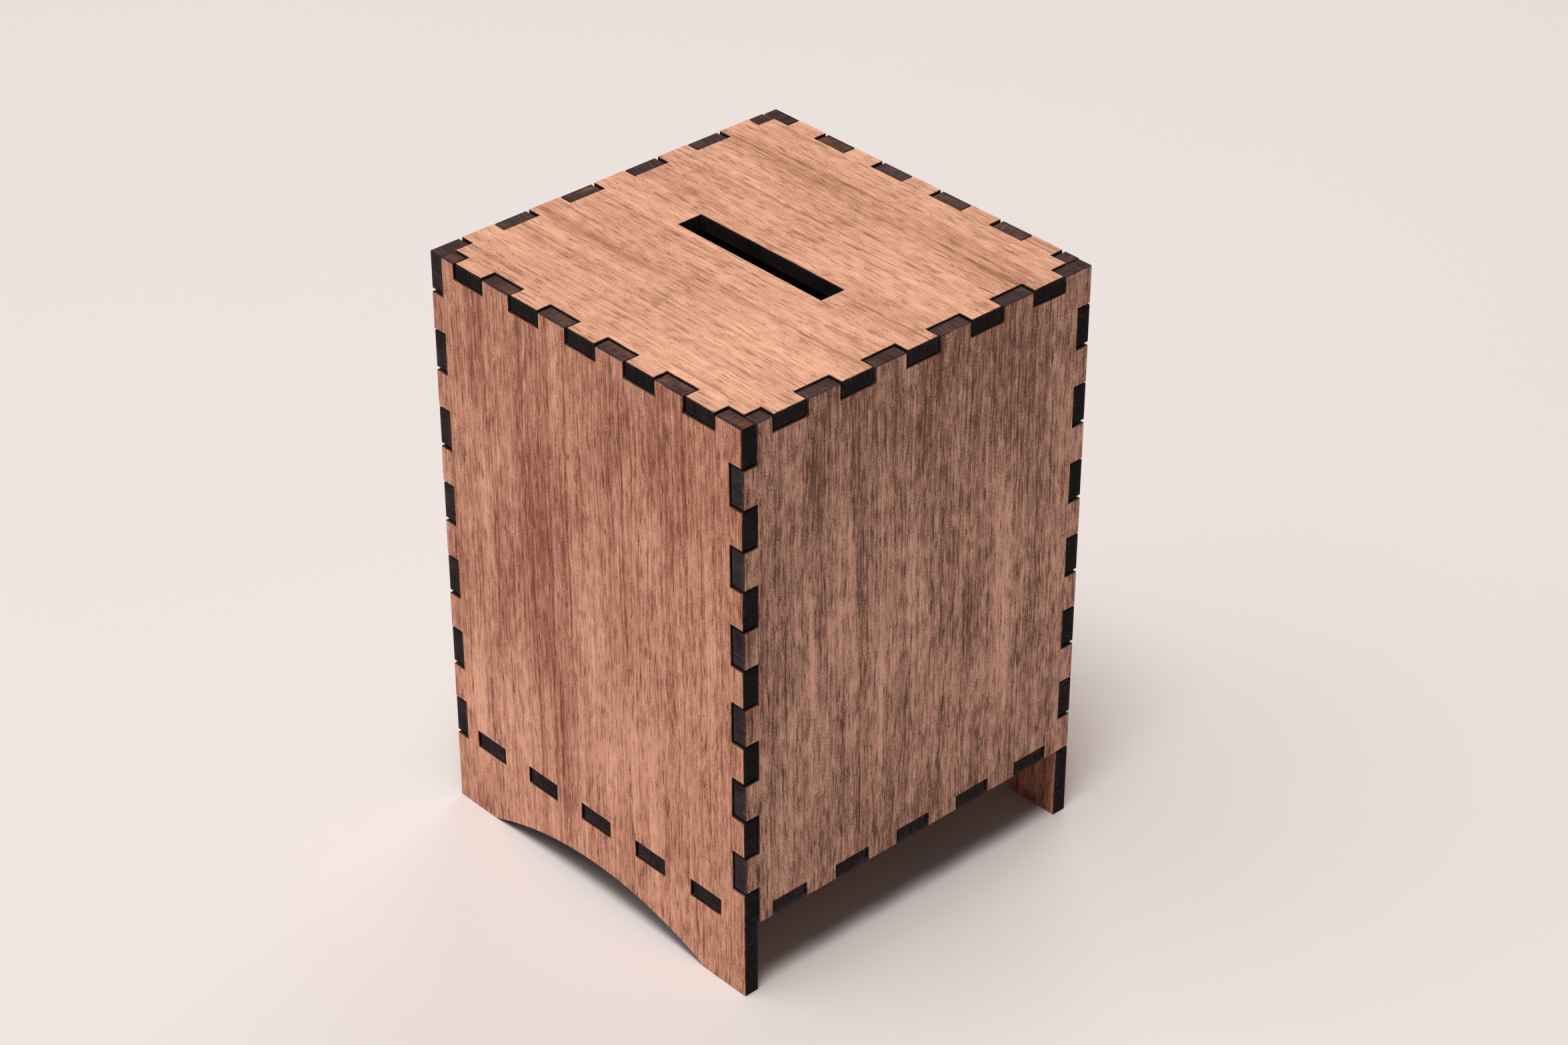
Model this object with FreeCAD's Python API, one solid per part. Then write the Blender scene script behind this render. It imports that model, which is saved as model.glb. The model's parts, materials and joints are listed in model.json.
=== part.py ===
import FreeCAD, Part
import math
import os

os.makedirs("parts", exist_ok=True)

# A money box of laser-cut plywood. Six flat panels lock together with finger joints, the front and
# back panels run on below the base as arched feet, and coins come out through the base past a swing
# hatch. Millimetres, +Z up, the feet stand on z = 0 and the front faces -Y.

# Box
box_width = 80.0           # outer face of the left wall to outer face of the right wall
box_depth = 80.0           # outer face of the front wall to outer face of the back wall
body_height = 101.4        # underside of the base to the upper face of the top
foot_height = 14.6         # floor to the underside of the base
sheet = 3.0                # plywood thickness

# Finger joints
tab_count = 5              # tabs on each edge of the top and of the base
row_count = 13             # finger rows up each corner, an odd number
joint_gap = 0.45           # slack between neighbouring fingers, burnt away by the laser

# Coin slot and feet
slot_length = 36.2
slot_width = 5.3
arch_span = 58.5           # width of the arch at the floor
arch_rise = 6.0            # height of the arch at its middle

# Coin outlet and swing hatch
outlet_diameter = 34.0
hatch_overlap = 5.0        # cover of the closed hatch beyond the rim of the outlet
hatch_clear = 1.0          # room between the open hatch and the rim of the outlet
pivot_inset = 8.0          # pivot to the two hatch edges beside it, and the corner radius there
pivot_from_side = 11.0     # pivot to the inner face of the right wall
stop_gap = 0.3             # hatch edge to the front wall, which stops it closed and open

# Pivot bolt, washers and lock nut
bolt_diameter = 3.0
bolt_length = 12.0         # under the head
bolt_chamfer = 0.3
head_diameter = 5.7
head_height = 1.65
head_crown = 3.0           # diameter of the flat on the domed head
socket_flats = 2.0
socket_depth = 1.0
washer_diameter = 7.0
washer_thickness = 0.5
nut_flats = 5.5
nut_height = 4.0
nut_hex_height = 2.6       # the rest is the round collar that holds the insert
nut_chamfer = 0.35
collar_diameter = 5.0
collar_lip = 0.3           # rolled edge below the insert
insert_diameter = 4.2
insert_height = 1.0
running_clearance = 0.1    # radial, between the bolt and what turns or slips on it
thread_clearance = 0.05    # radial, between the bolt and the nut or its insert
axial_play = 0.1           # on each face of the hatch

# Heights and places that follow
cut_back = joint_gap / 2
row_height = body_height / row_count
top_level = foot_height + body_height
base_level = foot_height + sheet
outlet_radius = outlet_diameter / 2
pivot_x = box_width / 2 - sheet - pivot_from_side
pivot_y = -box_depth / 2 + sheet + stop_gap + pivot_inset
outlet_x = pivot_x - pivot_inset - hatch_clear - outlet_radius
outlet_y = pivot_y - pivot_inset + hatch_overlap + outlet_radius
head_level = base_level + washer_thickness
spacer_level = foot_height - washer_thickness
hatch_level = spacer_level - axial_play
clamp_level = hatch_level - sheet - axial_play - washer_thickness
nut_level = clamp_level - nut_height
straight_enough = 1e-6     # bend below which three points count as one line


# Flat outlines

def corner_points(points):
    """Leave out repeated points and points in the middle of a straight run."""
    points = [(round(x, 6), round(y, 6)) for x, y in points]
    points = [point for index, point in enumerate(points) if point != points[index - 1]]
    corners = []
    for index, (x, y) in enumerate(points):
        before_x, before_y = points[index - 1]
        after_x, after_y = points[(index + 1) % len(points)]
        bend = (x - before_x) * (after_y - y) - (y - before_y) * (after_x - x)
        if abs(bend) > straight_enough:
            corners.append((x, y))
    return corners


def grown(points, distance):
    """Move a counter-clockwise outline of straight edges outwards, or inwards if negative."""
    corners = corner_points(points)
    moved = []
    for index, (x, y) in enumerate(corners):
        before_x, before_y = corners[index - 1]
        after_x, after_y = corners[(index + 1) % len(corners)]
        before_length = math.hypot(x - before_x, y - before_y)
        after_length = math.hypot(after_x - x, after_y - y)
        before_normal = ((y - before_y) / before_length, (before_x - x) / before_length)
        after_normal = ((after_y - y) / after_length, (x - after_x) / after_length)
        shared = 1 + before_normal[0] * after_normal[0] + before_normal[1] * after_normal[1]
        moved.append((x + distance * (before_normal[0] + after_normal[0]) / shared,
                      y + distance * (before_normal[1] + after_normal[1]) / shared))
    return moved


def polygon_face(points):
    corners = [FreeCAD.Vector(x, y, 0) for x, y in corner_points(points)]
    return Part.Face(Part.makePolygon(corners + corners[:1]))


def rectangle(left, right, low, high):
    return [(left, low), (right, low), (right, high), (left, high)]


def disc_face(x, y, radius):
    circle = Part.Circle(FreeCAD.Vector(x, y, 0), FreeCAD.Vector(0, 0, 1), radius)
    return Part.Face(Part.Wire(circle.toShape()))


# Finger joints

def tab_spans(length):
    """Start and end of each tab on an edge, measured from the middle of the edge."""
    pitch = (length - 2 * sheet) / tab_count
    middles = [pitch * (index - (tab_count - 1) / 2) for index in range(tab_count)]
    return [(middle - pitch / 4, middle + pitch / 4) for middle in middles]


def stepped_edge(first, last, spans, level, span_level):
    """Points of an edge that lies at level and steps to span_level along each span."""
    points = [(first, level)]
    for start, end in spans:
        points += [(start, level), (start, span_level), (end, span_level), (end, level)]
    return points + [(last, level)]


def turned(points, quarters):
    """Turn points about the origin by quarter turns, counter-clockwise."""
    for _ in range(quarters):
        points = [(-y, x) for x, y in points]
    return points


def tabbed_panel_face():
    """Top or base: a plate that fits inside the walls, with tabs through them on all four sides."""
    points = []
    for quarters in range(4):
        length, across = (box_width, box_depth) if quarters % 2 == 0 else (box_depth, box_width)
        half_inside = length / 2 - sheet
        spans = tab_spans(length)
        edge = stepped_edge(-half_inside, half_inside, spans, sheet - across / 2, -across / 2)
        points += turned(edge, quarters)
    return polygon_face(grown(points, -cut_back))


def corner_edge(width, owned):
    """Points up the right edge of a wall, whose even or odd finger rows reach the corner."""
    points = []
    for row in range(row_count):
        reach = width / 2 if row % 2 == owned else width / 2 - sheet
        low = foot_height + row * row_height
        points += [(reach, low), (reach, low + row_height)]
    return points


def wall_face(width, bottom_points):
    """Wall seen from outside. Its right edge owns the first and last rows and its left edge the others,
    so four walls follow each other round the box like a pinwheel."""
    right = corner_edge(width, 0)
    left = [(-x, y) for x, y in reversed(corner_edge(width, 1))]
    spans = tab_spans(width)
    notches = stepped_edge(-width / 2, width / 2 - sheet, spans, top_level, top_level - sheet)
    top = [(-x, y) for x, y in notches]
    return polygon_face(grown(bottom_points + right + top + left, -cut_back))


def footed_wall_face(width):
    """Front or back: the wall runs on below the base, which it holds in a row of mortises."""
    half = width / 2
    foot = [(-half, foot_height), (-half, -cut_back), (half, -cut_back)]
    face = wall_face(width, foot)
    for start, end in tab_spans(width):
        mortise = rectangle(start, end, foot_height, base_level)
        face = face.cut(polygon_face(grown(mortise, cut_back)))
    arch_radius = (arch_span ** 2 / 4 + arch_rise ** 2) / (2 * arch_rise)
    return face.cut(disc_face(0, arch_rise - arch_radius, arch_radius))


def side_wall_face(width):
    """Left or right: the wall ends at the underside of the base and takes its tabs in open notches."""
    spans = tab_spans(width)
    notches = stepped_edge(sheet - width / 2, width / 2, spans, foot_height, base_level)
    return wall_face(width, notches)


# Plywood panels

def lay_sheet(face, level):
    """A flat panel whose upper face is at a level."""
    panel = face.extrude(FreeCAD.Vector(0, 0, -sheet))
    panel.translate(FreeCAD.Vector(0, 0, level))
    return panel


def stand_sheet(face, distance, quarters):
    """An upright panel whose outer face is at a distance from the middle of the box."""
    panel = face.extrude(FreeCAD.Vector(0, 0, -sheet))
    panel.rotate(FreeCAD.Vector(0, 0, 0), FreeCAD.Vector(1, 0, 0), 90)
    panel.translate(FreeCAD.Vector(0, -distance, 0))
    panel.rotate(FreeCAD.Vector(0, 0, 0), FreeCAD.Vector(0, 0, 1), 90 * quarters)
    return panel


def make_top():
    half_length = slot_length / 2
    half_width = slot_width / 2
    slot = polygon_face(rectangle(-half_length, half_length, -half_width, half_width))
    return lay_sheet(tabbed_panel_face().cut(slot), top_level)


def pivot_hole():
    return disc_face(pivot_x, pivot_y, bolt_diameter / 2 + running_clearance)


def make_base():
    outlet = disc_face(outlet_x, outlet_y, outlet_radius)
    return lay_sheet(tabbed_panel_face().cut(outlet).cut(pivot_hole()), base_level)


def make_hatch():
    """Rounded plate over the outlet. The corner at the pivot is round about it, and clears the wall."""
    left = outlet_x - outlet_radius - hatch_overlap + pivot_inset
    back = outlet_y + outlet_radius + hatch_overlap - pivot_inset
    corner_centres = polygon_face(rectangle(left, pivot_x, pivot_y, back))
    plate = corner_centres.makeOffset2D(pivot_inset)
    return lay_sheet(plate.cut(pivot_hole()), hatch_level)


# Pivot hardware, modelled on the Z axis and moved to the pivot

def at_pivot(shape, level):
    shape.translate(FreeCAD.Vector(pivot_x, pivot_y, level))
    return shape


def turned_solid(profile_edges):
    """Solid of revolution about Z from edges in the XZ plane."""
    face = Part.Face(Part.Wire(profile_edges))
    return face.revolve(FreeCAD.Vector(0, 0, 0), FreeCAD.Vector(0, 0, 1), 360)


def profile_line(start, end):
    first = FreeCAD.Vector(start[0], 0, start[1])
    last = FreeCAD.Vector(end[0], 0, end[1])
    return Part.LineSegment(first, last).toShape()


def profile_lines(points):
    return [profile_line(start, end) for start, end in zip(points, points[1:])]


def hexagon_prism(flats, low, high):
    radius = flats / math.sqrt(3)
    angles = [math.radians(60 * corner) for corner in range(6)]
    corners = [(radius * math.cos(angle), radius * math.sin(angle)) for angle in angles]
    prism = polygon_face(corners).extrude(FreeCAD.Vector(0, 0, high - low))
    prism.translate(FreeCAD.Vector(0, 0, low))
    return prism


def make_bolt():
    """Button-head screw with a hexagon socket, its head seated at z = 0 and its shank below."""
    head = head_diameter / 2
    crown = head_crown / 2
    shank = bolt_diameter / 2
    dome_centre = (crown ** 2 + head_height ** 2 - head ** 2) / (2 * head_height)
    middle = (head + crown) / 2
    middle_height = dome_centre + math.sqrt(head ** 2 + dome_centre ** 2 - middle ** 2)
    dome = Part.Arc(FreeCAD.Vector(crown, 0, head_height),
                    FreeCAD.Vector(middle, 0, middle_height),
                    FreeCAD.Vector(head, 0, 0)).toShape()
    outline = [(head, 0), (shank, 0),
               (shank, bolt_chamfer - bolt_length), (shank - bolt_chamfer, -bolt_length),
               (0, -bolt_length), (0, head_height), (crown, head_height)]
    bolt = turned_solid(profile_lines(outline) + [dome])
    return bolt.cut(hexagon_prism(socket_flats, head_height - socket_depth, head_height))


def make_washer():
    """Flat washer with its lower face at z = 0."""
    bore = disc_face(0, 0, bolt_diameter / 2 + running_clearance)
    ring = disc_face(0, 0, washer_diameter / 2).cut(bore)
    return ring.extrude(FreeCAD.Vector(0, 0, washer_thickness))


def make_nut():
    """Lock nut with its collar downwards: chamfered hexagon, round collar and a seat for the insert."""
    corner = nut_flats / math.sqrt(3)
    flat = nut_flats / 2
    collar = collar_diameter / 2
    bore = bolt_diameter / 2 + thread_clearance
    hex_low = nut_height - nut_hex_height
    envelope = [(0, 0), (collar, 0), (collar, hex_low),
                (flat, hex_low), (corner, hex_low + nut_chamfer),
                (corner, nut_height - nut_chamfer), (flat, nut_height), (0, nut_height), (0, 0)]
    nut = turned_solid(profile_lines(envelope)).common(hexagon_prism(nut_flats, 0, nut_height))
    nut = nut.cut(Part.makeCylinder(bore, nut_height))
    seat_radius = insert_diameter / 2 + thread_clearance
    insert_seat = Part.makeCylinder(seat_radius, insert_height + thread_clearance)
    insert_seat.translate(FreeCAD.Vector(0, 0, collar_lip))
    return nut.cut(insert_seat)


def make_insert():
    """Nylon ring inside the collar of the lock nut."""
    bore = disc_face(0, 0, bolt_diameter / 2 + thread_clearance)
    ring = disc_face(0, 0, insert_diameter / 2).cut(bore)
    insert = ring.extrude(FreeCAD.Vector(0, 0, insert_height))
    insert.translate(FreeCAD.Vector(0, 0, collar_lip))
    return insert


pieces = {
    "top_panel": make_top(),
    "base_panel": make_base(),
    "front_panel": stand_sheet(footed_wall_face(box_width), box_depth / 2, 0),
    "right_panel": stand_sheet(side_wall_face(box_depth), box_width / 2, 1),
    "back_panel": stand_sheet(footed_wall_face(box_width), box_depth / 2, 2),
    "left_panel": stand_sheet(side_wall_face(box_depth), box_width / 2, 3),
    "swing_hatch": make_hatch(),
    "pivot_bolt": at_pivot(make_bolt(), head_level),
    "head_washer": at_pivot(make_washer(), base_level),
    "spacer_washer": at_pivot(make_washer(), spacer_level),
    "clamp_washer": at_pivot(make_washer(), clamp_level),
    "lock_nut": at_pivot(make_nut(), nut_level),
    "nut_insert": at_pivot(make_insert(), nut_level),
}

for name, shape in pieces.items():
    shape.exportStep(f"parts/{name}.step")
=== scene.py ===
"""Looks of a finger-jointed plywood money box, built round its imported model, in metres."""

import json
import math
from dataclasses import dataclass

import bmesh
import bpy
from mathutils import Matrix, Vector

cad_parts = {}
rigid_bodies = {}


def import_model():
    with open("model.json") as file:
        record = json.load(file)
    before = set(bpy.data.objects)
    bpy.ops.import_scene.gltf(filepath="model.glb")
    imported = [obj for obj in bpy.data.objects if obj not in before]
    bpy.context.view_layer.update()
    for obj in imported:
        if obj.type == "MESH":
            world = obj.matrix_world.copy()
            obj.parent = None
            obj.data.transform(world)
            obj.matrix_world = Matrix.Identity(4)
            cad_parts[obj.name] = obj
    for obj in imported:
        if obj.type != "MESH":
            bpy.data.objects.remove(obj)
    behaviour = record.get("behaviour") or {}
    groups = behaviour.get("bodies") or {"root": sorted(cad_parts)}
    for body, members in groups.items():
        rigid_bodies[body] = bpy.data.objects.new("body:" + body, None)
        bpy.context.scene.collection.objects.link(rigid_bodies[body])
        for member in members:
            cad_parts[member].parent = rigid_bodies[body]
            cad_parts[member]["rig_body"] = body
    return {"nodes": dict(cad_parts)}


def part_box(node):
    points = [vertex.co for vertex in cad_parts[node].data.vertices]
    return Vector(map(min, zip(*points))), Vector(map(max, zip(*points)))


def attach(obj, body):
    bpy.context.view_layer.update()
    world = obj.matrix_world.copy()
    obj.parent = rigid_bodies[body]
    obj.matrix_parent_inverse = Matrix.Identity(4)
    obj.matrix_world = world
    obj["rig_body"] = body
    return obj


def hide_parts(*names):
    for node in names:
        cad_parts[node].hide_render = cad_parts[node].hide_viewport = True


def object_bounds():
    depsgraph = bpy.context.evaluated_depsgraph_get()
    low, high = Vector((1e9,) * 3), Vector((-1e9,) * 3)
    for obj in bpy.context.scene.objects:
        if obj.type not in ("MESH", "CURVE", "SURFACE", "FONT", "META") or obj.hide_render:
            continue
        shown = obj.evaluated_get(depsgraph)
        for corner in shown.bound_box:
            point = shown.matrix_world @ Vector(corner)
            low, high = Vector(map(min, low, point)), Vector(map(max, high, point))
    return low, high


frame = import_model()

cad_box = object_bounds()
millimetre = 0.001

# Sizes that the meshes share
arris_width = 0.09 * millimetre
hardware_arris = 0.08 * millimetre
weld_distance = 0.001 * millimetre
flat_angle = math.radians(1.0)
sharp_angle = math.radians(25.0)
sheet_mm = (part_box("top_panel")[1].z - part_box("top_panel")[0].z) / millimetre

# Limits on how much of a face's direction lies along an axis: a sheet's own faces have more
# than the first through the sheet, its cut edges have less than the second, and the cut edges
# that face up, worn by rubbing and given a painted sheen, have more than the third upwards
face_lean = 0.95
edge_lean = 0.1
upward = 0.9

# Where each sheet lies: the axis across the grain, the axis along it, the axis through
# the sheet, and the side of the sheet that faces out
sheets = {
    "top_panel": (1, 0, 2, 1),
    "base_panel": (1, 0, 2, -1),
    "front_panel": (0, 2, 1, -1),
    "back_panel": (0, 2, 1, 1),
    "left_panel": (1, 2, 0, -1),
    "right_panel": (1, 2, 0, 1),
    "swing_hatch": (1, 0, 2, -1),
}

# What each piece of the hatch's pivot is made of
hardware = {
    "pivot_bolt": "zinc_steel",
    "head_washer": "zinc_steel",
    "clamp_washer": "zinc_steel",
    "lock_nut": "zinc_steel",
    "spacer_washer": "nylon",
    "nut_insert": "nylon",
}


def colour(red, green, blue):
    return (red, green, blue, 1.0)


def tinted(shade, factors):
    return colour(*[channel * factor for channel, factor in zip(shade, factors)])


def scaled(shade, factor):
    return tinted(shade, (factor, factor, factor))


@dataclass
class Look:
    """How one sheet differs from the others.

    The seed starts its noises. The middle colour, tinted, gives its dark and its light wood,
    and dark is the tint of the dark wood. Contrast, streaks and pores say how strongly those
    show, bare how much of the char on the up-facing edges is worn down to the wood, and soot how
    light the char is. A spot is its middle across and along the grain, its half size across and
    along, and how much it lightens the wood, or darkens it if negative. Lengths are in mm.
    """

    seed: float
    middle: tuple
    contrast: float = 1.0
    streaks: float = 1.0
    pores: float = 0.7
    bare: float = 0.3
    soot: float = 1.0
    dark: tuple = (0.44, 0.33, 0.29)
    spots: tuple = ()


looks = {
    "top_panel": Look(
        seed=1.0,
        middle=colour(0.670, 0.312, 0.192),
        contrast=0.53,
        streaks=0.60,
        pores=0.60,
        bare=0.1,
        spots=(
            (26.0, -18.0, 6.0, 34.0, -0.16),
            (27.0, 28.0, 6.0, 24.0, -0.14),
            (-14.5, -18.0, 4.5, 34.0, -0.16),
            (8.0, -30.0, 3.0, 20.0, -0.10),
            (20.0, 22.0, 2.6, 30.0, 0.16),
            (9.0, 18.0, 3.0, 38.0, 0.12),
            (-9.0, 8.0, 2.6, 40.0, 0.14),
            (-26.0, 24.0, 20.0, 30.0, 0.13),
        ),
    ),
    # The front sheet's middle colour is lighter than the other sheets': painted light on the front
    # face
    "front_panel": Look(
        seed=21.0,
        middle=colour(0.766, 0.342, 0.217),
        contrast=0.9,
        bare=0.40,
        soot=0.85,
        dark=(0.45, 0.32, 0.30),
        spots=(
            (-11.5, 84.0, 7.0, 24.0, -0.26),
            (-13.5, 64.0, 9.0, 26.0, -0.25),
            (-14.0, 47.0, 8.0, 14.0, -0.18),
            (-3.5, 80.0, 5.0, 8.0, -0.22),
            (-36.0, 52.0, 7.0, 26.0, -0.14),
            (22.0, 104.0, 30.0, 26.0, -0.23),
            (-26.0, 100.0, 18.0, 16.0, -0.10),
            (21.0, 60.0, 4.0, 12.0, -0.10),
            (-27.5, 60.0, 2.4, 44.0, 0.34),
            (0.5, 52.0, 3.6, 40.0, 0.26),
            (13.0, 83.0, 10.0, 18.0, 0.14),
            (14.0, 34.0, 24.0, 24.0, 0.16),
            (-28.0, 24.0, 16.0, 28.0, 0.32),
            (0.0, 6.0, 60.0, 16.0, 0.13),
        ),
    ),
    "right_panel": Look(
        seed=41.0,
        middle=colour(0.652, 0.304, 0.210),
        contrast=1.3,
        streaks=0.95,
        bare=0.0,
        soot=2.6,
        dark=(0.34, 0.33, 0.31),
        spots=(
            (-25.0, 60.0, 1.8, 46.0, 0.44),
            (-15.6, 62.0, 1.6, 46.0, 0.38),
            (-9.0, 42.0, 1.7, 36.0, 0.38),
            (-1.0, 74.0, 2.6, 30.0, 0.22),
            (21.6, 62.0, 2.4, 42.0, 0.28),
            (-30.0, 72.0, 4.0, 20.0, -0.14),
            (5.0, 26.0, 3.4, 18.0, -0.28),
            (12.0, 48.0, 3.0, 22.0, -0.16),
            (34.0, 101.0, 6.0, 8.0, -0.24),
            (4.0, 104.0, 60.0, 36.0, -0.19),
            (0.0, 16.0, 60.0, 26.0, -0.11),
        ),
    ),
    "left_panel": Look(
        seed=61.0,
        middle=colour(0.632, 0.288, 0.191),
        contrast=0.95,
        streaks=1.3,
        bare=0.2,
        soot=2.4,
        spots=(
            (-20.0, 70.0, 6.0, 34.0, -0.20),
            (-16.0, 40.0, 5.0, 20.0, -0.16),
            (18.0, 96.0, 26.0, 20.0, -0.16),
            (26.0, 44.0, 4.0, 22.0, -0.14),
            (-28.0, 62.0, 2.0, 44.0, 0.32),
            (-4.0, 58.0, 2.2, 46.0, 0.30),
            (11.0, 52.0, 5.0, 30.0, 0.18),
            (4.0, 24.0, 30.0, 20.0, 0.12),
        ),
    ),
    "back_panel": Look(
        seed=81.0,
        middle=colour(0.642, 0.286, 0.187),
        contrast=0.95,
        streaks=1.3,
        bare=0.3,
        spots=(
            (14.0, 78.0, 6.0, 28.0, -0.22),
            (17.0, 52.0, 8.0, 24.0, -0.18),
            (-24.0, 98.0, 22.0, 18.0, -0.14),
            (-16.0, 46.0, 4.0, 18.0, -0.14),
            (29.0, 60.0, 2.2, 44.0, 0.30),
            (3.0, 58.0, 2.6, 44.0, 0.28),
            (-8.0, 70.0, 6.0, 26.0, 0.16),
            (-14.0, 24.0, 26.0, 22.0, 0.14),
        ),
    ),
    # The base sheet is darker than the others: painted shade, to darken the shade under the box
    "base_panel": Look(seed=101.0, middle=colour(0.32, 0.165, 0.118), contrast=0.8, soot=1.9),
    "swing_hatch": Look(seed=121.0, middle=colour(0.48, 0.24, 0.16), contrast=0.8),
}

# What is added to a sheet's seed for each of its noises; the grain and the lines have several
# noises and count on from there
seed_steps = {
    "sway": 0.0,
    "grain": 1.0,
    "drift": 10.0,
    "pores": 11.0,
    "lines": 14.0,
    "char": 6.0,
    "scratches": 8.0,
    "wear": 9.0,
    "smoke": 13.0,
    "patches": 17.0,
}

# How the grain wanders over the sheet, and how the clouds wander besides: the size of the
# noise in mm, how many finer layers it has, and how far it carries from end to end, in mm
grain_sway = ((25.0, 70.0, 50.0), 2.0, (3.0, 6.0, 0.0))
cloud_drift = ((5.0, 12.0, 50.0), 3.0, (5.0, 30.0, 0.0))

# How deep a spot goes, in mm: so far that it is the same all through the sheet
spot_depth = 1000.0

# Patterns of the veneer: their size across, along and through the sheet in mm, how many
# finer layers each has, and how strongly it shows
grain_patterns = (
    ((0.28, 0.40, 9.0), 1.0, 1.0),
    ((0.42, 3.5, 9.0), 1.0, 0.9),
    ((1.5, 3.6, 9.0), 2.0, 0.85),
    ((5.0, 12.0, 9.0), 3.0, 0.5),
    ((14.0, 34.0, 9.0), 2.0, 0.6),
)
streak_patterns = (
    ((0.75, 45.0, 9.0), 1.0, 0.9),
    ((2.2, 90.0, 9.0), 1.0, 0.5),
    ((6.0, 150.0, 9.0), 1.0, 0.5),
)

# Thin dark lines along the grain: about how far apart, how long and how deep they are, in mm,
# how far from the middle of their noise they reach, and how much they darken the tone
line_patterns = ((1.7, 60.0, 9.0), (1.3, 40.0, 9.0), (1.0, 25.0, 9.0), (0.8, 18.0, 9.0))
line_reach = 0.013
line_darkness = 0.22

# Pores in the lines: the size of the noise that leaves them, in mm, how much dark wood
# favours them, and the values between which they fade in
pore_size = (0.7, 3.6, 9.0)
pore_favour = 0.35
pore_range = (0.255, 0.395)

# Tints of the light wood, of the pores, and of the painted shade on the wood inside the box
light_tint = (1.37, 1.61, 1.69)
pore_tint = 0.50
inside_shade_tint = (0.88, 0.78, 0.82)

# Colours of the plies where the laser cut them, of the same plies on up-facing edges, worn by
# rubbing and lightened by a painted sheen, and of their glue
veneer_soot = colour(0.0165, 0.0120, 0.0125)
core_soot = colour(0.0120, 0.0087, 0.0094)
inner_soot = colour(0.0145, 0.0105, 0.0115)
veneer_grey = colour(0.040, 0.023, 0.022)
core_grey = colour(0.048, 0.027, 0.025)
glue_line = colour(0.078, 0.047, 0.042)

# Where the plies start and end, from 0 at the outer face to 1 at the inner one, and what
# part of the depth wears down to bare wood
soot_plies = ((0.20, veneer_soot), (0.24, core_soot), (0.76, core_soot), (0.80, inner_soot))
rubbed_and_sheen_plies = (
    (0.20, veneer_grey),
    (0.23, glue_line),
    (0.26, core_grey),
    (0.76, core_grey),
    (0.80, veneer_grey),
)
bare_plies = (
    (0.20, colour(0.0, 0.0, 0.0)),
    (0.26, colour(1.0, 1.0, 1.0)),
    (0.90, colour(1.0, 1.0, 1.0)),
    (1.0, colour(0.3, 0.3, 0.3)),
)

# Sizes of the noises on the cut edges, across, along and through the sheet, in mm
char_size = (0.35, 0.35, 2.5)
smoke_size = (7.0, 7.0, 9.0)
patch_size = (12.0, 12.0, 5.0)
scratch_size = (0.16, 0.5, 1.4)
wear_size = (3.0, 3.0, 9.0)

# Colours of what shows where the char is worn
bare_wood = colour(0.150, 0.064, 0.034)
scratch_grey = colour(0.10, 0.078, 0.074)
arris_dark = colour(0.060, 0.026, 0.014)
arris_light = colour(0.24, 0.115, 0.066)

# Soft lamps: where each stands, its width and height in metres, and its power in watts
lamps = {
    "key_light": ((0.22, -0.38, 1.90), 0.50, 0.85, 27.0),
    "left_light": ((-0.55, -0.82, 1.75), 1.30, 1.20, 11.5),
    "back_light": ((-0.75, 1.30, 1.10), 1.20, 0.90, 9.0),
}
sky_colour = colour(1.0, 0.98, 0.98)
sky_strength = 0.105

# The floor, what shows behind the object, and how far from it the floor has turned into that
floor_half_width = 4.0
floor_dark = colour(0.73, 0.665, 0.635)
floor_light = colour(0.75, 0.685, 0.655)
backdrop = colour(0.84, 0.76, 0.715)
backdrop_reach = 1.6

# The camera, fitted to the object's corners in the photograph
lens_mm = 84.91
sensor_mm = 36.0
camera_place = (0.41047, -0.37035, 0.41998)
camera_target = (0.0019, 0.0038, 0.0613)


# Meshes

def welded(node):
    """A copy of a node's mesh, with its triangles joined into flat faces."""
    shape = bmesh.new()
    shape.from_mesh(frame["nodes"][node].data)
    bmesh.ops.remove_doubles(shape, verts=shape.verts, dist=weld_distance)
    bmesh.ops.dissolve_limit(
        shape, angle_limit=flat_angle, verts=shape.verts, edges=shape.edges
    )
    return shape


def sharp_edges(shape):
    return [edge for edge in shape.edges if edge.calc_face_angle(0.0) > sharp_angle]


def soften(shape, width):
    """Takes the sharpness off every sharp edge."""
    bmesh.ops.bevel(
        shape,
        geom=sharp_edges(shape),
        offset=width,
        offset_type="OFFSET",
        segments=1,
        profile=0.5,
        affect="EDGES",
        clamp_overlap=True,
    )
    shape.normal_update()


def mark_sheet(shape, across, along, through, side):
    """Gives the mesh its place in the sheet, in mm, and says which faces were cut."""
    place = shape.verts.layers.float_vector.new("sheet_mm")
    arris = shape.faces.layers.float.new("arris")
    rubbed_and_sheen = shape.faces.layers.float.new("rubbed_and_sheen")
    outside = max(side * vertex.co[through] for vertex in shape.verts)
    for vertex in shape.verts:
        depth = outside - side * vertex.co[through]
        spot = Vector((vertex.co[across], vertex.co[along], depth))
        vertex[place] = spot / millimetre
    for face in shape.faces:
        lean = abs(face.normal[through])
        face.material_index = int(lean < face_lean)
        face[arris] = float(edge_lean <= lean < face_lean)
        # Up-facing cut edges get wear and a painted sheen of the light from above
        face[rubbed_and_sheen] = float(lean < edge_lean and face.normal.z > upward)


def piece_from(shape, name, node, materials):
    """Turns a finished shape into a piece that stands for a node and rides on its body."""
    mesh = bpy.data.meshes.new(name)
    shape.to_mesh(mesh)
    shape.free()
    mesh.shade_smooth()
    mesh.set_sharp_from_angle(angle=sharp_angle)
    for material in materials:
        mesh.materials.append(material)
    piece = bpy.data.objects.new(name, mesh)
    bpy.context.scene.collection.objects.link(piece)
    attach(piece, frame["nodes"][node]["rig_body"])
    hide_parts(node)
    return piece


# Materials

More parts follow.
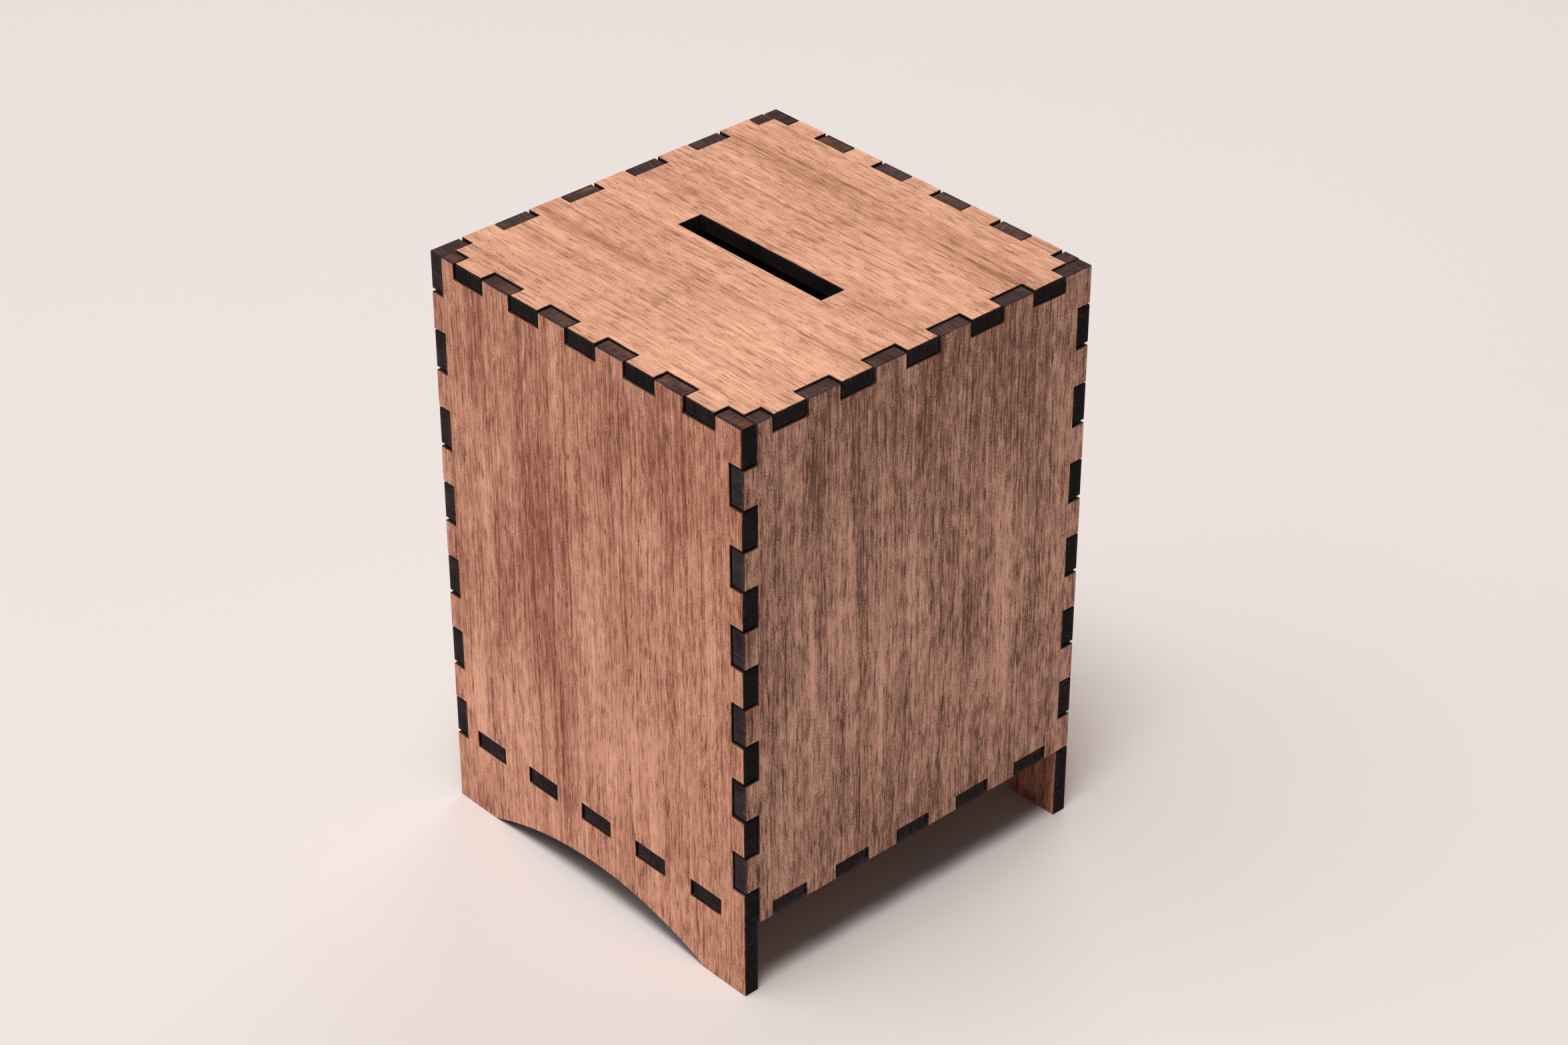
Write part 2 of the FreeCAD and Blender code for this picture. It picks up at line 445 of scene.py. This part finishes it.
class Nodes:
    """Short calls for the nodes of a material or of the world."""

    def __init__(self, tree):
        self.tree = tree

    def node(self, kind, inputs=(), **settings):
        made = self.tree.nodes.new(kind)
        for name, value in settings.items():
            setattr(made, name, value)
        for socket, value in dict(inputs).items():
            self.feed(made.inputs[socket], value)
        return made

    def feed(self, socket, value):
        if isinstance(value, bpy.types.NodeSocket):
            self.tree.links.new(value, socket)
        else:
            socket.default_value = value

    def attribute(self, name, output="Fac"):
        return self.node("ShaderNodeAttribute", attribute_name=name).outputs[output]

    def maths(self, operation, first, second=0.0, third=0.0):
        inputs = {0: first, 1: second, 2: third}
        return self.node("ShaderNodeMath", inputs, operation=operation).outputs[0]

    def vector(self, operation, first, second):
        inputs = {0: first, 1: second}
        return self.node("ShaderNodeVectorMath", inputs, operation=operation).outputs[0]

    def noise(self, place, size, seed, detail=2.0, rough=0.5, output="Fac"):
        """Noise whose lumps have about this size across, along and through."""
        inputs = {
            "Vector": self.vector("DIVIDE", place, size),
            "W": seed,
            "Scale": 1.0,
            "Detail": detail,
            "Roughness": rough,
        }
        made = self.node("ShaderNodeTexNoise", inputs, noise_dimensions="4D")
        return made.outputs[output]

    def wander(self, place, seed, size, detail, reach):
        """A push that differs from place to place, as long as reach from end to end."""
        push = self.noise(place, size, seed, detail, output="Color")
        push = self.vector("SUBTRACT", push, (0.5, 0.5, 0.5))
        return self.vector("MULTIPLY", push, reach)

    def fade(self, value, low, high, bottom=0.0, top=1.0):
        """Bottom where the value is low, top where it is high, and smooth between."""
        inputs = {
            "Value": value,
            "From Min": low,
            "From Max": high,
            "To Min": bottom,
            "To Max": top,
        }
        made = self.node("ShaderNodeMapRange", inputs, interpolation_type="SMOOTHSTEP")
        return made.outputs["Result"]

    def mix(self, factor, first, second):
        """A mix of two colours, by those sockets of the node that take and give colours."""
        made = self.node("ShaderNodeMix", {0: factor, 6: first, 7: second}, data_type="RGBA")
        return made.outputs[2]

    def ramp(self, value, stops):
        """A colour that changes with a value, through (position, colour) stops."""
        made = self.node("ShaderNodeValToRGB", {0: value})
        elements = made.color_ramp.elements
        while len(elements) < len(stops):
            elements.new(1.0)
        for element, (position, shade) in zip(elements, stops):
            element.position = position
            element.color = shade
        return made.outputs["Color"]

    def ball(self, place):
        """1 in the middle of a ball of radius 1, falling to 0 at its skin and outside it."""
        made = self.node("ShaderNodeTexGradient", {0: place}, gradient_type="SPHERICAL")
        return made.outputs["Fac"]

    def spot(self, total, place, middle, half_size, amount):
        """Adds a soft oval, the same all through the sheet, to a total."""
        offset = self.vector("SUBTRACT", place, (*middle, 0.0))
        offset = self.vector("DIVIDE", offset, (*half_size, spot_depth))
        bell = self.fade(self.ball(offset), 0.0, 1.0)
        return self.maths("MULTIPLY_ADD", bell, amount, total)

    def depth(self, place):
        """How far a place lies from the sheet's outer face, as a part of the sheet."""
        through = self.node("ShaderNodeSeparateXYZ", {0: place}).outputs["Z"]
        return self.maths("DIVIDE", through, sheet_mm)

    def bump(self, height, distance):
        inputs = {"Height": height, "Distance": distance}
        return self.node("ShaderNodeBump", inputs).outputs["Normal"]

    def looked_at(self):
        """1 for rays from the camera, gloss or glass, and 0 for the rays that bring light."""
        path = self.node("ShaderNodeLightPath").outputs
        shiny = self.maths("MAXIMUM", path["Is Glossy Ray"], path["Is Transmission Ray"])
        return self.maths("MAXIMUM", path["Is Camera Ray"], shiny)

    def choose(self, factor, first, second, output):
        """Sends a mix of two shaders to the tree's output."""
        chosen = self.node("ShaderNodeMixShader", {0: factor, 1: first, 2: second})
        self.feed(self.tree.nodes[output].inputs["Surface"], chosen.outputs[0])


class Surface(Nodes):
    """A material built round its Principled shader."""

    def __init__(self, name):
        self.material = bpy.data.materials.new(name)
        self.material.use_nodes = True
        super().__init__(self.material.node_tree)
        self.shader = self.tree.nodes["Principled BSDF"]

    def finish(self, **inputs):
        """Feeds the shader's inputs, given by their names with _ for a space."""
        for name, value in inputs.items():
            self.feed(self.shader.inputs[name.replace("_", " ")], value)
        return self.material


def veneer_tone(wood, look, grain, cloudy):
    """How light the veneer is: ribbons and streaks along the grain, and spots listed for each
    sheet.
    """
    patterns = [(size, detail, weight * look.contrast) for size, detail, weight in grain_patterns]
    patterns += [(size, detail, weight * look.streaks) for size, detail, weight in streak_patterns]
    seed = look.seed + seed_steps["grain"]
    tone = 0.5
    for number, (size, detail, weight) in enumerate(patterns):
        pattern = wood.noise(grain, size, seed + number, detail)
        tone = wood.maths("ADD", tone, wood.maths("MULTIPLY_ADD", pattern, weight, -weight / 2))
    for across, along, half_across, half_along, amount in look.spots:
        tone = wood.spot(tone, cloudy, (across, along), (half_across, half_along), amount)
    return tone


def grain_lines(wood, look, grain):
    """1 on the thin lines along the grain and 0 off them: each is where a noise is halfway."""
    seed = look.seed + seed_steps["lines"]
    lines = 0.0
    for number, size in enumerate(line_patterns):
        level = wood.noise(grain, size, seed + number, detail=1.0)
        off_line = wood.maths("ABSOLUTE", wood.maths("SUBTRACT", level, 0.5))
        line = wood.fade(off_line, 0.0, line_reach, bottom=1.0, top=0.0)
        lines = wood.maths("MAXIMUM", lines, line)
    return lines


def open_pores(wood, look, grain, lines, tone):
    """The parts of the lines that are open pores, more of them in dark wood."""
    breaks = wood.noise(grain, pore_size, look.seed + seed_steps["pores"])
    breaks = wood.maths("MULTIPLY_ADD", tone, -pore_favour, breaks)
    return wood.maths("MULTIPLY", lines, wood.fade(breaks, *pore_range))


def stained_veneer(name, look):
    """Red-brown stained veneer: ribbons and streaks along the grain, clouds and open pores."""
    wood = Surface(name)
    place = wood.attribute("sheet_mm", "Vector")
    sway = wood.wander(place, look.seed + seed_steps["sway"], *grain_sway)
    grain = wood.vector("ADD", place, sway)
    drift = wood.wander(place, look.seed + seed_steps["drift"], *cloud_drift)
    cloudy = wood.vector("ADD", grain, drift)

    tone = veneer_tone(wood, look, grain, cloudy)
    lines = grain_lines(wood, look, grain)
    pore = open_pores(wood, look, grain, lines, tone)
    tone = wood.maths("MULTIPLY_ADD", lines, -line_darkness * look.contrast, tone)

    dark = tinted(look.middle, look.dark)
    light = tinted(look.middle, light_tint)
    shade = wood.mix(tone, dark, light)
    shade = wood.mix(wood.maths("MULTIPLY", pore, look.pores), shade, scaled(dark, pore_tint))
    # Painted shade: the half of each sheet that faces into the box is darker and redder
    painted_inside_shade = wood.vector("MULTIPLY", shade, inside_shade_tint)
    shade = wood.mix(wood.fade(wood.depth(place), 0.4, 0.6), shade, painted_inside_shade)

    height = wood.maths("MULTIPLY_ADD", tone, 0.5, wood.maths("MULTIPLY", pore, -1.0))
    return wood.finish(
        Base_Color=shade,
        Roughness=wood.fade(tone, 0.2, 0.8, bottom=0.68, top=0.54),
        Specular_IOR_Level=0.12,
        Normal=wood.bump(height, 0.03 * millimetre),
    )


def ply_colours(char, look, depth, rubbed_and_sheen):
    """Three plies, black from the laser, or greyer with a glue line where worn and given painted
    sheen.
    """
    scorched = [(position, scaled(soot, look.soot)) for position, soot in soot_plies]
    return char.mix(rubbed_and_sheen, char.ramp(depth, scorched), char.ramp(depth, rubbed_and_sheen_plies))


def bare_patches(char, look, place, depth, rubbed_and_sheen):
    """1 where the char on the up-facing edges is worn down to the wood, and 0 elsewhere."""
    seed = look.seed + seed_steps["patches"]
    patches = char.noise(place, patch_size, seed, detail=4.0, rough=0.55)
    first_worn = 0.56 - 0.32 * look.bare
    all_worn = 0.80 - 0.30 * look.bare
    bare = char.fade(patches, first_worn, all_worn)
    wearing = char.maths("MULTIPLY", rubbed_and_sheen, char.ramp(depth, bare_plies))
    return char.maths("MULTIPLY", bare, wearing)


def scratched(char, look, place, shade):
    """Adds short grey scratches to a colour."""
    scratches = char.noise(place, scratch_size, look.seed + seed_steps["scratches"], detail=1.0)
    return char.mix(char.fade(scratches, 0.66, 0.76, top=0.55), shade, scratch_grey)


def worn_arris(char, look, place):
    """The brown of the arrises, darker and lighter by turns."""
    wear = char.noise(place, wear_size, look.seed + seed_steps["wear"], detail=3.0, rough=0.6)
    return char.mix(char.fade(wear, 0.50, 0.66), arris_dark, arris_light)


def charred_plies(name, look):
    """The cut edge of the sheet: three plies, scorched by the laser, worn and with painted sheen
    on top.
    """
    char = Surface(name)
    place = char.attribute("sheet_mm", "Vector")
    depth = char.depth(place)
    rubbed_and_sheen = char.attribute("rubbed_and_sheen")
    # Greyer plies on the up-facing edges: wear and a painted sheen
    shade = ply_colours(char, look, depth, rubbed_and_sheen)
    shade = char.mix(bare_patches(char, look, place, depth, rubbed_and_sheen), shade, bare_wood)
    shade = scratched(char, look, place, shade)
    shade = char.mix(char.attribute("arris"), shade, worn_arris(char, look, place))

    grain = char.noise(place, char_size, look.seed + seed_steps["char"], detail=3.0, rough=0.65)
    smoke = char.noise(place, smoke_size, look.seed + seed_steps["smoke"])
    level = char.fade(grain, 0.25, 0.75, bottom=0.55, top=1.5)
    level = char.maths("MULTIPLY", level, char.fade(smoke, 0.35, 0.65, bottom=0.75, top=1.35))
    return char.finish(
        Base_Color=char.vector("MULTIPLY", shade, level),
        Roughness=char.fade(grain, 0.3, 0.7, bottom=0.92, top=0.78),
        Specular_IOR_Level=0.08,
        Normal=char.bump(grain, 0.04 * millimetre),
    )


def zinc_steel():
    """Bright zinc plate with a cloudy passivated bloom."""
    steel = Surface("zinc_steel")
    place = steel.node("ShaderNodeTexCoord").outputs["Object"]
    lump = 1.5 * millimetre
    bloom = steel.noise(place, (lump, lump, lump), seed=3.0, detail=3.0)
    shade = steel.mix(bloom, colour(0.50, 0.50, 0.48), colour(0.66, 0.65, 0.61))
    return steel.finish(
        Base_Color=shade,
        Metallic=1.0,
        Roughness=steel.fade(bloom, 0.3, 0.7, bottom=0.28, top=0.45),
    )


def nylon():
    """Milky unpigmented nylon."""
    plastic = Surface("nylon")
    place = plastic.node("ShaderNodeTexCoord").outputs["Object"]
    lump = 0.8 * millimetre
    cloud = plastic.noise(place, (lump, lump, lump), seed=5.0)
    shade = plastic.mix(cloud, colour(0.76, 0.74, 0.68), colour(0.86, 0.85, 0.80))
    return plastic.finish(
        Base_Color=shade,
        Roughness=plastic.fade(cloud, 0.3, 0.7, bottom=0.38, top=0.52),
    )


def floor_paint():
    """Pale paint that takes the shadow near the object and turns into the backdrop far away."""
    paint = Surface("floor_paint")
    place = paint.node("ShaderNodeTexCoord").outputs["Object"]
    lump = 0.2
    cloud = paint.noise(place, (lump, lump, lump), seed=1.0)
    shade = paint.mix(cloud, floor_dark, floor_light)
    material = paint.finish(Base_Color=shade, Roughness=0.8, Specular_IOR_Level=0.2)
    near = paint.ball(paint.vector("DIVIDE", place, (backdrop_reach,) * 3))
    far = paint.fade(near, 0.0, 0.6, bottom=1.0, top=0.0)
    far = paint.maths("MULTIPLY", far, paint.looked_at())
    glow = paint.node("ShaderNodeEmission", {"Color": backdrop})
    paint.choose(far, paint.shader.outputs[0], glow.outputs[0], "Material Output")
    return material


# Pieces

def dress_sheets():
    for node, layout in sheets.items():
        look = looks[node]
        shape = welded(node)
        soften(shape, arris_width)
        mark_sheet(shape, *layout)
        face = stained_veneer(node + "_veneer", look)
        edge = charred_plies(node + "_char", look)
        piece = piece_from(shape, node + "_ply", node, (face, edge))


def dress_hardware():
    finishes = {"zinc_steel": zinc_steel(), "nylon": nylon()}
    for node, slot in hardware.items():
        shape = welded(node)
        soften(shape, hardware_arris)
        piece = piece_from(shape, node + "_finish", node, (finishes[slot],))


# Stage

def pale_floor():
    shape = bmesh.new()
    bmesh.ops.create_grid(shape, x_segments=1, y_segments=1, size=floor_half_width)
    mesh = bpy.data.meshes.new("floor")
    shape.to_mesh(mesh)
    shape.free()
    mesh.materials.append(floor_paint())
    floor = bpy.data.objects.new("floor", mesh)
    bpy.context.scene.collection.objects.link(floor)


def aim(thing, target):
    direction = Vector(target) - thing.location
    thing.rotation_euler = direction.to_track_quat("-Z", "Y").to_euler()


def soft_box(name, place, width, height, power):
    """A rectangular lamp that faces the middle of the object."""
    lamp = bpy.data.lights.new(name, "AREA")
    lamp.shape = "RECTANGLE"
    lamp.size = width
    lamp.size_y = height
    lamp.energy = power
    box = bpy.data.objects.new(name, lamp)
    box.location = place
    bpy.context.scene.collection.objects.link(box)
    aim(box, (cad_box[0] + cad_box[1]) / 2)


def soft_light():
    """The lamps, and a sky that lights dimly but shows as the backdrop."""
    for name, lamp in lamps.items():
        soft_box(name, *lamp)
    world = bpy.data.worlds.new("ambient")
    world.use_nodes = True
    sky = Nodes(world.node_tree)
    dim = sky.node("ShaderNodeBackground", {"Color": sky_colour, "Strength": sky_strength})
    pale = sky.node("ShaderNodeBackground", {"Color": backdrop, "Strength": 1.0})
    sky.choose(sky.looked_at(), dim.outputs[0], pale.outputs[0], "World Output")
    bpy.context.scene.world = world


def photo_camera():
    lens = bpy.data.cameras.new("camera")
    lens.sensor_width = sensor_mm
    lens.lens = lens_mm
    camera = bpy.data.objects.new("camera", lens)
    camera.location = camera_place
    bpy.context.scene.collection.objects.link(camera)
    aim(camera, camera_target)
    bpy.context.scene.camera = camera


bpy.context.scene.view_settings.view_transform = "Standard"
photo_camera()
pale_floor()
soft_light()
dress_sheets()
dress_hardware()
